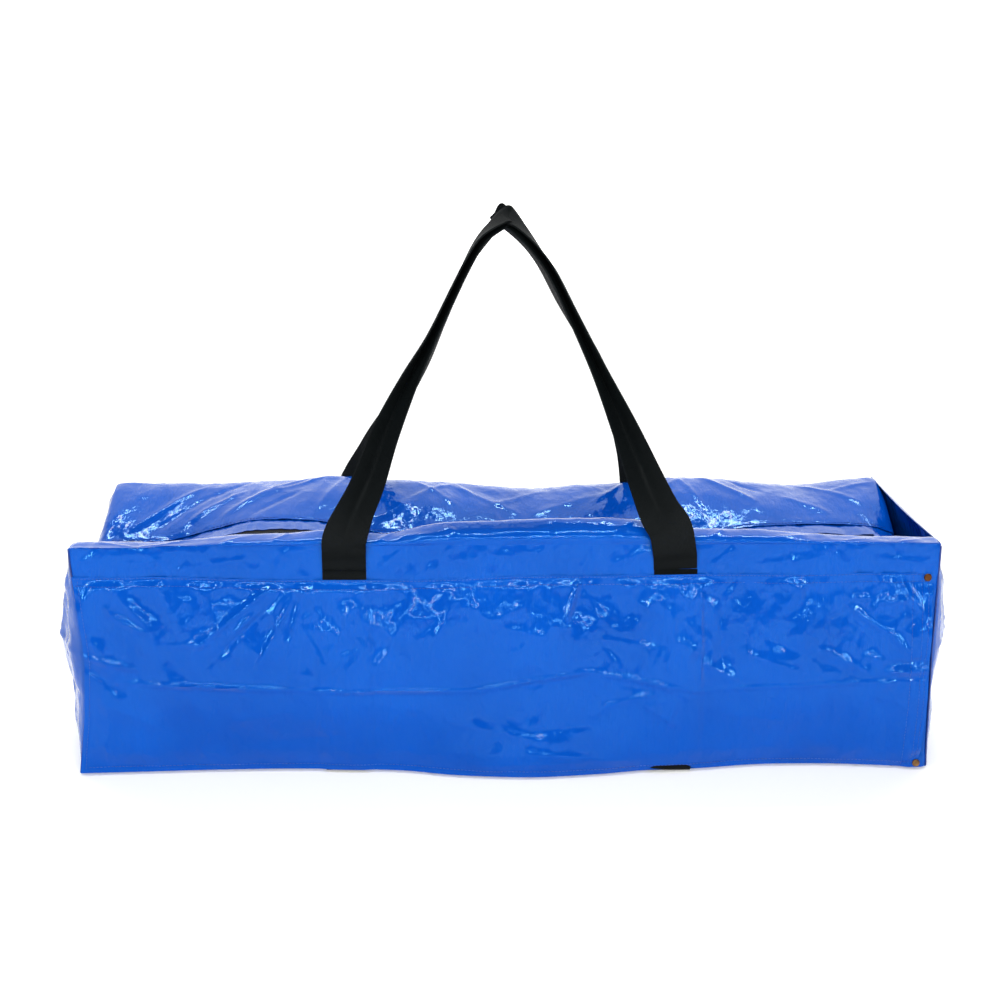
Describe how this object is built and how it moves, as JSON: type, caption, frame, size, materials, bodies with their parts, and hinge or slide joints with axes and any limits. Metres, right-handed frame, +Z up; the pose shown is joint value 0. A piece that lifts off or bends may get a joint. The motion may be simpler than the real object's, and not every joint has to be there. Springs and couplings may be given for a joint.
{
  "type": "equipment carry bag",
  "caption": "Box-shaped coated PVC carry bag for a dog agility tunnel kit, with a zipped top, webbing handles that run on under the belly, and a flat front pocket.",
  "frame": {"origin": "middle of the overall box, on the floor that the belly webbing rests on", "axes": "+X along the bag towards the pocket's open end, +Y from front to back, +Z up"},
  "size_m": [1.05, 0.331, 0.652],
  "materials": {
    "pvc_sheet": "gloss",
    "webbing": "matte",
    "zip_tape": "matte",
    "zip_coil": "satin",
    "slider_metal": "satin",
    "rivet_brass": "antique",
    "closing_strip": "matte"
  },
  "bodies": {
    "bag": {"bottom_panel": "pvc_sheet", "front_wall": "pvc_sheet", "back_wall": "pvc_sheet", "left_end_panel": "pvc_sheet", "right_end_panel": "pvc_sheet", "pocket_panel": "pvc_sheet", "pocket_loop_strip": "closing_strip", "left_belly_strap": "webbing", "right_belly_strap": "webbing", "pocket_rivets": "rivet_brass", "pocket_rivet_burrs": "rivet_brass", "left_zip_end_tab": "pvc_sheet", "right_zip_end_tab": "pvc_sheet", "left_zip_chain_end": "zip_coil", "right_zip_chain_end": "zip_coil"},
    "front_flap": {"front_top_panel": "pvc_sheet", "front_zip_strip": "pvc_sheet", "front_zip_tape": "zip_tape", "front_zip_coil": "zip_coil"},
    "front_handle": {"front_handle_webbing": "webbing"},
    "back_flap": {"back_top_panel": "pvc_sheet", "back_zip_strip": "pvc_sheet", "back_zip_tape": "zip_tape", "back_zip_coil": "zip_coil"},
    "back_handle": {"back_handle_webbing": "webbing"},
    "zip_slider": {"zip_slider": "slider_metal"},
    "zip_pull": {"zip_pull": "slider_metal"},
    "pocket_mouth": {"pocket_mouth_flap": "pvc_sheet", "pocket_hook_strip": "closing_strip"}
  },
  "joints": [
    {"name": "front_flap_hinge", "type": "hinge", "parent": "bag", "child": "front_flap", "pos_m": [0, -0.15655, 0.2797], "axis": [1, 0, 0], "range_deg": [0, 68]},
    {"name": "front_handle_swing", "type": "hinge", "parent": "bag", "child": "front_handle", "pos_m": [0, -0.15915, 0.25015], "axis": [1, 0, 0], "range_deg": [0, 144]},
    {"name": "back_flap_hinge", "type": "hinge", "parent": "bag", "child": "back_flap", "pos_m": [0, 0.16285, 0.2797], "axis": [-1, 0, 0], "range_deg": [0, 68]},
    {"name": "back_handle_swing", "type": "hinge", "parent": "bag", "child": "back_handle", "pos_m": [0, 0.16545, 0.25015], "axis": [-1, 0, 0], "range_deg": [0, 144]},
    {"name": "zip_travel", "type": "slide", "parent": "bag", "child": "zip_slider", "axis": [1, 0, 0], "range_m": [0, 0.892]},
    {"name": "pull_flip", "type": "hinge", "parent": "zip_slider", "child": "zip_pull", "pos_m": [-0.446, 0.00315, 0.24175], "axis": [0, 1, 0], "range_deg": [0, 170]},
    {"name": "pocket_mouth_hinge", "type": "hinge", "parent": "bag", "child": "pocket_mouth", "pos_m": [0.34125, -0.16545, 0.1235], "axis": [0, 0, -1], "range_deg": [0, 24]}
  ]
}
